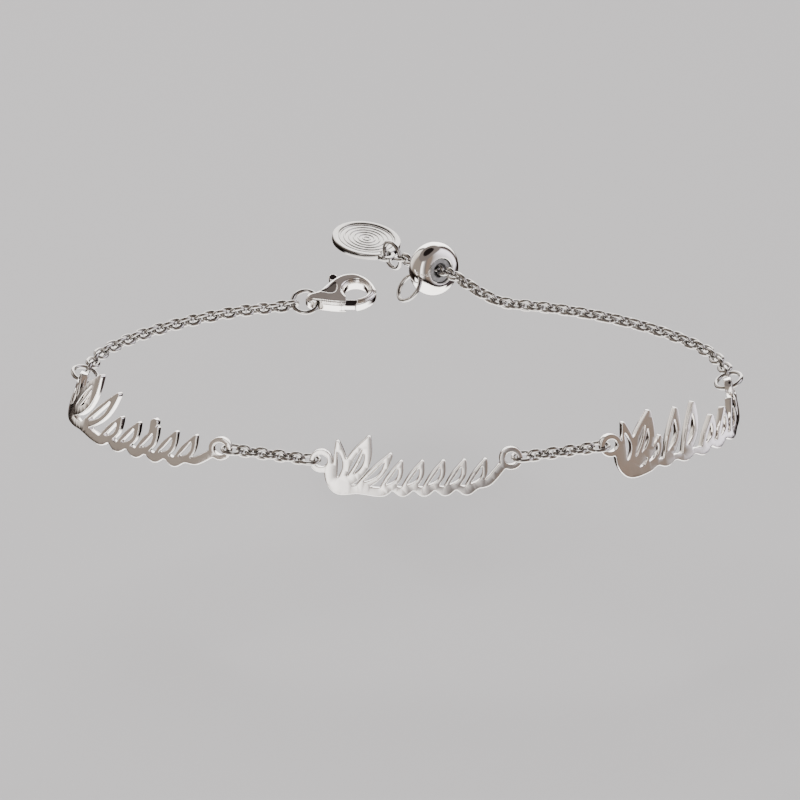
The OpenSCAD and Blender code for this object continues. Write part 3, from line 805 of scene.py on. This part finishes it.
# Longer than this, in millimetres, a link is the flat one in a plate's eyelet
LONG_LINK = 2.5
CHAINS = ["chain_back_left", "chain_front_left", "chain_front_right", "chain_back_right"]


class BRACELET_OT_chains(bpy.types.Operator):
    """Add the chains, each link where the frame has it"""

    bl_idname = "bracelet.chains"
    bl_label = "Chains"

    def execute(self, context):
        chain = Sizes("chains")
        for node in CHAINS:
            bm = bmesh.new()
            for points in node_solids(node):
                place, extent = solid_frame(points)
                mean_r = (extent[1] - extent[2]) / 2
                belly = chain.belly if extent[0] < LONG_LINK else 0
                half_bar = (extent[0] - extent[1]) / 2
                oval_link(bm, half_bar, mean_r, extent[2] + chain.link_more, belly, place)
            piece = add_object(node + "_links", bm, ["links"], 60)
            dress(piece, node, "bracelet")
        return {"FINISHED"}


# The jump rings, and the body that each rides on
RINGS = {"ring_plate_left": "bracelet", "ring_plate_right": "bracelet", "clasp_ring": "bracelet",
         "closing_ring": "slider", "tag_ring": "bracelet"}


class BRACELET_OT_rings(bpy.types.Operator):
    """Add the jump rings"""

    bl_idname = "bracelet.rings"
    bl_label = "Jump rings"

    def execute(self, context):
        more = Sizes("chains").ring_more
        for node, body in RINGS.items():
            bm = bmesh.new()
            place, extent = solid_frame(np.concatenate(node_solids(node)))
            ring_mesh(bm, (extent[0] - extent[2]) / 2, extent[2] + more, place)
            piece = add_object(node + "_wire", bm, ["links"], 60)
            dress(piece, node, body)
        return {"FINISHED"}


def turned(at, *turns):
    """Place of a piece: moved to a point, after turns of (degrees, axis), the last turn first."""
    matrix = Matrix.Translation(at)
    for degrees, axis in turns:
        matrix = matrix @ Matrix.Rotation(math.radians(degrees), 4, axis)
    return matrix


# Places of the clasp and the bead, and their turns in degrees
CLASP_AT, CLASP_LEAN = (-12.7984, 22.1, 0), 13
CLASP_PLACE = turned(CLASP_AT, (CLASP_LEAN, "X"))
BEAD_AT = Vector((3.5785, 30.55, 0))
BEAD_YAW, BEAD_PITCH = -54.4, 14.2
BEAD_PLACE = turned(BEAD_AT, (BEAD_YAW, "Z"), (90 - BEAD_PITCH, "Y"))


def node_copy(node, place):
    """Merged copy of a CAD node's mesh in millimetres, in the piece's own frame."""
    bm = node_mesh(node)
    bmesh.ops.scale(bm, vec=(1 / MM,) * 3, verts=bm.verts)
    bmesh.ops.transform(bm, matrix=place.inverted(), verts=bm.verts)
    return bm


# Points of a turned solid nearer than this, in millimetres, are one
POLE_CLOSE = 1e-5


def lathe(profile, steps=96):
    """Solid turned round Z from a closed profile of (radius, height)."""
    bm = bmesh.new()
    verts = [bm.verts.new((r, 0, z)) for r, z in profile]
    edges = [bm.edges.new(pair) for pair in zip(verts, verts[1:] + verts[:1])]
    bmesh.ops.spin(bm, geom=verts + edges, cent=(0, 0, 0), axis=(0, 0, 1), angle=2 * math.pi, steps=steps,
                   use_merge=True)
    bmesh.ops.remove_doubles(bm, verts=bm.verts, dist=POLE_CLOSE)
    bmesh.ops.dissolve_degenerate(bm, edges=bm.edges, dist=POLE_CLOSE / 10)
    bmesh.ops.recalc_face_normals(bm, faces=bm.faces)
    return bm


def arc(r, z, radius, start, end, count):
    """Points of (radius, height) on an arc, by degrees."""
    return [(r + radius * math.cos(math.radians(start + (end - start) * k / count)),
             z + radius * math.sin(math.radians(start + (end - start) * k / count)))
            for k in range(count + 1)]


def cast(bm, voxel, rounds):
    """The shape as a smooth casting: one skin, with its edges worn round."""
    obj = scratch_object(bm)
    skin = obj.modifiers.new("skin", "REMESH")
    skin.mode = "VOXEL"
    skin.voxel_size = voxel
    skin.use_smooth_shade = True
    soft = obj.modifiers.new("soft", "SMOOTH")
    soft.factor = 0.5
    soft.iterations = rounds
    return applied(obj)


# How far out the clasp's cutters reach, and a hair over a face that still counts as the face
CUT_REACH, HAIR = 1.6, 0.01


def sloping_cut(outline, side, face, depth, fall):
    """Cutter over a flat face; its floor sinks towards -Y, by fall for each millimetre."""
    cutter = prism(outline, *sorted((side * face, side * CUT_REACH)))
    far = max(y for _, y in outline)
    for vert in cutter.verts:
        if abs(vert.co.z) < face + HAIR:
            vert.co.z -= side * (depth + fall * (far - vert.co.y))
    return cutter


# The clasp in its own frame, in millimetres: X along it, Y towards its knob, Z its thickness
CLASP_THICK, LEVER_THICK = 1.9, 1.05
# The spool that widens the eye towards both faces: its middle, half height, end and waist
SPOOL_AT, SPOOL_HALF, SPOOL_END = (6.4, 1.5, 0), 1.3, 2.1
SPOOL_WAIST = arc(2.42, 0, 1.13, -115, -245, 12)
# The shallow hollow in the clasp's faces, beside its eye
HOLLOW = [(1.7, 1.1), (2.3, 1.34), (3.3, 2.33), (3.9, 2.85), (4.1, 1.97), (3.9, 0.95), (3.42, 0.66),
          (2.67, 0.8)]
HOLLOW_STEP, HOLLOW_DEPTH, HOLLOW_FALL = 0.2, 0.03, 0.095
# The lever's faces fall away over its knob and its gate
KNOB_AT, KNOB_CUT = (3.5, 4.12), 0.58
GATE = [(5.0, -1.3), (6.8, -1.3), (6.8, 0.1), (5.0, 0.1)]
LEVER_CUT, LEVER_FALL = 0.01, 0.14
# The fine seam across the clasp's nose, where body and lever meet
SEAM = [(4.55, -1.6), (4.65, -1.6), (4.65, -1.0), (4.55, -1.0)]
SEAM_HALF = 1.1


class BRACELET_OT_clasp(bpy.types.Operator):
    """Add the lobster clasp: its cast body and its lever"""

    bl_idname = "bracelet.clasp"
    bl_label = "Lobster clasp"

    def execute(self, context):
        body = node_copy("clasp_body", CLASP_PLACE)
        spool = lathe([(0, -SPOOL_HALF), (SPOOL_END, -SPOOL_HALF)] + SPOOL_WAIST
                      + [(SPOOL_END, SPOOL_HALF), (0, SPOOL_HALF)])
        bmesh.ops.translate(spool, verts=spool.verts, vec=SPOOL_AT)
        outline = evened(np.array(HOLLOW), HOLLOW_STEP, passes=4)
        cutters = [spool] + [sloping_cut(outline, side, CLASP_THICK / 2, HOLLOW_DEPTH, HOLLOW_FALL)
                             for side in (-1, 1)]
        body = cast(combine(body, cutters, "DIFFERENCE"), voxel=0.05, rounds=10)
        body = combine(body, [prism(SEAM, -SEAM_HALF, SEAM_HALF)], "DIFFERENCE")
        bmesh.ops.transform(body, matrix=CLASP_PLACE, verts=body.verts)
        piece = add_object("clasp_casting", body, ["polished"], 180)
        dress(piece, "clasp_body", "bracelet")

        lever = node_copy("clasp_lever", CLASP_PLACE)
        knob = disc_outline(*KNOB_AT, KNOB_CUT, 32)
        lever = combine(lever, [sloping_cut(flat, side, LEVER_THICK / 2, LEVER_CUT, LEVER_FALL)
                                for flat in (knob, GATE) for side in (-1, 1)], "DIFFERENCE")
        lever = cast(lever, voxel=0.045, rounds=6)
        lever = combine(lever, [prism(SEAM, -SEAM_HALF, SEAM_HALF)], "DIFFERENCE")
        bmesh.ops.transform(lever, matrix=CLASP_PLACE, verts=lever.verts)
        piece = add_object("clasp_thumb_lever", lever, ["polished"], 180)
        dress(piece, "clasp_lever", "lever")
        return {"FINISHED"}


# The bead's rounded ends and the lip of its bore
BEAD_ROUND, BEAD_LIP = 1.7, 0.16
# How far the stopper lies inside the bead's ends and inside its bore, and its soft edges
STOPPER_SUNK, STOPPER_SLIM, SOFT_EDGE = 0.3, 0.1, 0.12


class BRACELET_OT_bead(bpy.types.Operator):
    """Add the sliding bead and its soft stopper"""

    bl_idname = "bracelet.bead"
    bl_label = "Sliding bead"

    def execute(self, context):
        bead = Sizes("bead")
        half, radius, seat = bead.along / 2, bead.diameter / 2, bead.stopper / 2
        end, lip = BEAD_ROUND, BEAD_LIP
        profile = [(seat + lip, -half)] + arc(radius - end, end - half, end, -90, 0, 14)
        profile += arc(radius - end, half - end, end, 0, 90, 14) + [(seat + lip, half)]
        profile += arc(seat + lip, half - lip, lip, 90, 180, 4)
        profile += arc(seat + lip, lip - half, lip, 180, 270, 4)[:-1]
        shell = lathe(profile, 112)
        channel = bmesh.new()
        place, extent = solid_frame(np.concatenate(node_solids("closing_ring")))
        ring_mesh(channel, (extent[0] - extent[2]) / 2, extent[2] + 2 * bead.channel,
                  BEAD_PLACE.inverted() @ place, CHANNEL_STEPS)
        shell = combine(shell, [channel], "DIFFERENCE")
        bmesh.ops.transform(shell, matrix=BEAD_PLACE, verts=shell.verts)
        piece = add_object("slider_shell", shell, ["polished"], 40)
        dress(piece, "slider_bead", "slider")

        top, wall = half - STOPPER_SUNK, seat - STOPPER_SLIM
        bore, soft = bead.bore / 2, SOFT_EDGE
        profile = arc(wall - soft, soft - top, soft, -90, 0, 5)
        profile += arc(wall - soft, top - soft, soft, 0, 90, 5)
        profile += arc(bore + soft, top - soft, soft, 90, 180, 5)
        profile += arc(bore + soft, soft - top, soft, 180, 270, 5)
        tube = lathe(profile, 80)
        bmesh.ops.transform(tube, matrix=BEAD_PLACE, verts=tube.verts)
        piece = add_object("soft_stopper", tube, ["stopper"], 50)
        dress(piece, "bead_insert", "slider")
        return {"FINISHED"}


# The tag hangs from its ring: the ring's place along the chain, its mean radius, the tag's drop
# below it, and the tag's turns in degrees
TAG_RING_BACK, TAG_RING_MEAN, TAG_DROP = 9.4, 1.76, 0.8
TAG_PITCH, TAG_ROLL = -3.4, 6.4
# The sunk field, and the ridges on it: their step, width, foot, and how deep their rounds start
FIELD_DEPTH, RIDGE_STEP, RIDGE_WIDE, RIDGE_FOOT, RIDGE_SINK = 0.14, 0.62, 0.26, 0.05, 0.03
# The slope inside the rim, the lug's half thickness, and how far the tag laps over it
RIM_SLOPE, RIM_DROP, LUG_HALF, LUG_LAP = 0.06, 0.05, 0.3, 0.2


class BRACELET_OT_tag(bpy.types.Operator):
    """Add the round end tag: a rim, concentric ridges and a lug"""

    bl_idname = "bracelet.tag"
    bl_label = "End tag"

    def execute(self, context):
        tag = Sizes("tag")
        yaw, pitch = math.radians(BEAD_YAW), math.radians(BEAD_PITCH)
        ring_at = BEAD_AT - TAG_RING_BACK * Vector((math.cos(pitch) * math.cos(yaw),
                                                    math.cos(pitch) * math.sin(yaw), math.sin(pitch)))
        back = math.sqrt(TAG_RING_MEAN ** 2 - TAG_DROP ** 2)
        hole_at = ring_at - Vector((math.cos(yaw) * back, math.sin(yaw) * back, TAG_DROP))
        place = turned(hole_at, (BEAD_YAW + 180, "Z"), (TAG_PITCH, "Y"), (TAG_ROLL, "X"))
        half, radius, soft = tag.thickness / 2, tag.diameter / 2, SOFT_EDGE
        field, step, wide = half - FIELD_DEPTH, RIDGE_STEP, RIDGE_WIDE
        profile = [(0, -half)] + arc(radius - soft, soft - half, soft, -90, 0, 4)
        profile += arc(radius - soft, half - soft, soft, 0, 90, 4)
        profile += [(radius - tag.rim + RIM_SLOPE, half), (radius - tag.rim, half - RIM_DROP),
                    (radius - tag.rim, field)]
        rings = int((radius - tag.rim - 0.5 * step - wide) / step)
        for k in range(rings, -1, -1):
            at = (k + 0.5) * step
            profile += [(at + wide + RIDGE_FOOT, field)]
            profile += arc(at + wide / 2, field - RIDGE_SINK, wide / 2, 15, 165, 6)
            profile += [(at - RIDGE_FOOT, field)]
        disc = lathe(profile + [(0, field)], 112)
        bmesh.ops.translate(disc, verts=disc.verts, vec=(radius - LUG_LAP, 0, 0))
        lug = lathe([(0, -LUG_HALF)] + arc(tag.lug / 2 - soft, soft - LUG_HALF, soft, -90, 0, 4)
                    + arc(tag.lug / 2 - soft, LUG_HALF - soft, soft, 0, 90, 4) + [(0, LUG_HALF)], 64)
        disc = combine(disc, [lug], "UNION")
        disc = combine(disc, [prism(disc_outline(0, 0, tag.hole / 2, 64), -1, 1)], "DIFFERENCE")
        bmesh.ops.transform(disc, matrix=place, verts=disc.verts)
        piece = add_object("round_tag", disc, ["relief"], 40)
        dress(piece, "end_tag", "bracelet")
        return {"FINISHED"}


# The camera: its frame, how far it looks down, the middle of its view in millimetres, and its lens
PHOTO_PX = 800
PX_PER_MM = 8.0
VIEW_DOWN = math.radians(31)
VIEW_X, VIEW_Y = -0.75, -2.18
LENS, SENSOR = 400.0, 36.0
# The floor: how far down it is, in millimetres, its radius in metres, its colour and roughness
FLOOR_DROP, FLOOR_RADIUS = 36.0, 0.9
PAPER, PAPER_ROUGH = (0.52, 0.52, 0.53, 1), 0.9


def soft_light(name, place, aim, size, power, colour):
    """A soft card of light that the silver doesn't mirror."""
    data = bpy.data.lights.new(name, "AREA")
    data.shape = "RECTANGLE"
    data.size, data.size_y = size
    data.energy = power
    data.color = colour
    lamp = bpy.data.objects.new(name, data)
    bpy.context.scene.collection.objects.link(lamp)
    lamp.location = place
    lamp.visible_glossy = False
    lamp.rotation_euler = (Vector(aim) - Vector(place)).to_track_quat("-Z", "Y").to_euler()


# Round the horizon: degrees from the front towards +X, and the light that comes from there
RING_LIGHT = [
    (-180, (5.0, 4.9, 4.8)), (-156, (5.0, 4.9, 4.8)), (-151, (0.05, 0.04, 0.035)),
    (-147, (0.05, 0.04, 0.035)), (-140, (1.9, 1.8, 1.7)), (-112, (1.3, 1.2, 1.1)),
    (-98, (0.42, 0.36, 0.31)), (-26, (0.42, 0.36, 0.31)), (-17, (3.6, 3.5, 3.4)),
    (-9, (3.2, 3.1, 3.0)), (0, (1.1, 1.05, 1.02)), (8, (0.62, 0.58, 0.57)), (15, (0.24, 0.22, 0.21)),
    (30, (0.4, 0.3, 0.24)), (50, (0.38, 0.31, 0.26)), (64, (1.1, 1.04, 1.1)), (80, (2.1, 2.0, 2.25)),
    (106, (2.7, 2.6, 2.9)), (118, (0.25, 0.2, 0.19)), (138, (0.03, 0.02, 0.02)),
    (150, (5.0, 4.9, 4.8)), (180, (5.0, 4.9, 4.8))]
# Looking down the ring fades between these depths to a dark floor, of this share of its light
FLOOR_FADE, FLOOR_SHARE = (0.12, 0.3), (0.03, 0.024, 0.022, 1)
# Further down is a white card, which starts sooner in the front half
FRONT_FADE, FRONT_RISE = (0.0, 0.3), 0.27
CARD_FADE, CARD_LIGHT = (0.66, 0.76), (4.6, 4.5, 4.4, 1)
# Overhead are a grey wall and a dark gap
WALL_FADE, WALL_LIGHT = (0.64, 0.74), (0.28, 0.245, 0.23, 1)
GAP_FADE, GAP_LIGHT = (0.9, 0.94), (0.02, 0.015, 0.015, 1)


def studio_world(scene):
    """Soft panels and dark gaps round the bracelet, for the polished silver to show."""
    world = bpy.data.worlds.new("studio")
    scene.world = world
    tree = Tree(world)
    way = tree.node("ShaderNodeTexCoord", output="Generated")
    across, along, up = (tree.node("ShaderNodeSeparateXYZ", {}, [way], axis) for axis in "XYZ")
    turn = across.math("ARCTAN2", 0 - along) * (0.5 / math.pi) + 0.5
    stops = [(degrees / 360 + 0.5, light) for degrees, light in RING_LIGHT]
    ring = tree.node("ShaderNodeValToRGB", {"stops": stops}, [turn])
    floor_side = tree.mix(1.0, ring, FLOOR_SHARE, "MULTIPLY")
    colour = tree.mix((0 - up).step(*FLOOR_FADE), ring, floor_side)
    under = (0 - along).step(*FRONT_FADE) * FRONT_RISE - up
    colour = tree.mix(under.step(*CARD_FADE), colour, CARD_LIGHT)
    colour = tree.mix(up.step(*WALL_FADE), colour, WALL_LIGHT)
    colour = tree.mix(up.step(*GAP_FADE), colour, GAP_LIGHT)
    background = tree.node("ShaderNodeBackground", {}, {"Color": colour, "Strength": 1.0})
    tree.finish(background, "ShaderNodeOutputWorld")


class BRACELET_OT_studio(bpy.types.Operator):
    """Add the floor, the studio light and the camera"""

    bl_idname = "bracelet.studio"
    bl_label = "Studio"

    def execute(self, context):
        bm = bmesh.new()
        bmesh.ops.create_circle(bm, cap_ends=True, segments=96, radius=FLOOR_RADIUS)
        floor = linked("floor", bm)
        floor.location = (0, 0, -FLOOR_DROP * MM)
        paper = bpy.data.materials.new("paper")
        tree = Tree(paper)
        tree.finish(tree.node("ShaderNodeBsdfPrincipled", {}, {"Base Color": PAPER,
                                                               "Roughness": PAPER_ROUGH}))
        floor.data.materials.append(paper)
        floor.visible_glossy = False

        soft_light("top_card", place=(-0.1, 0.12, 0.55), aim=(0, 0, 0), size=(0.4, 0.3), power=3.2,
                   colour=(1, 0.985, 0.97))
        studio_world(context.scene)

        view_w = PHOTO_PX / PX_PER_MM * MM
        far = view_w * LENS / SENSOR
        middle = Vector((VIEW_X * MM, VIEW_Y * MM, 0))
        back = Vector((0, -math.cos(VIEW_DOWN), math.sin(VIEW_DOWN)))
        data = bpy.data.cameras.new("camera")
        data.lens = LENS
        data.sensor_width = SENSOR
        data.clip_start = 0.01
        data.clip_end = 20
        camera = bpy.data.objects.new("camera", data)
        context.scene.collection.objects.link(camera)
        camera.location = middle + back * far
        camera.rotation_euler = (-back).to_track_quat("-Z", "Y").to_euler()
        context.scene.camera = camera
        return {"FINISHED"}


STEPS = [BRACELET_OT_studio, BRACELET_OT_plates, BRACELET_OT_chains, BRACELET_OT_rings,
         BRACELET_OT_clasp, BRACELET_OT_bead, BRACELET_OT_tag]


class BRACELET_PT_panel(bpy.types.Panel):
    """Sidebar panel with the bracelet's steps and sizes"""

    bl_idname = "BRACELET_PT_panel"
    bl_label = "Bracelet"
    bl_space_type = "VIEW_3D"
    bl_region_type = "UI"
    bl_category = "Bracelet"

    def draw(self, context):
        for step in STEPS:
            self.layout.operator(step.bl_idname)
        for key, kind in GROUPS.items():
            for name in kind.__annotations__:
                self.layout.prop(getattr(context.scene, "bracelet_" + key), name)


CLASSES = list(GROUPS.values()) + STEPS + [BRACELET_PT_panel]


def register():
    for item in CLASSES:
        bpy.utils.register_class(item)
    for key, kind in GROUPS.items():
        setattr(bpy.types.Scene, "bracelet_" + key, PointerProperty(type=kind))


def unregister():
    for key in GROUPS:
        delattr(bpy.types.Scene, "bracelet_" + key)
    for item in reversed(CLASSES):
        bpy.utils.unregister_class(item)


def main():
    register()
    bpy.ops.bracelet.studio()
    bpy.ops.bracelet.plates()
    bpy.ops.bracelet.chains()
    bpy.ops.bracelet.rings()
    bpy.ops.bracelet.clasp()
    bpy.ops.bracelet.bead()
    bpy.ops.bracelet.tag()


if __name__ == "__main__":
    main()
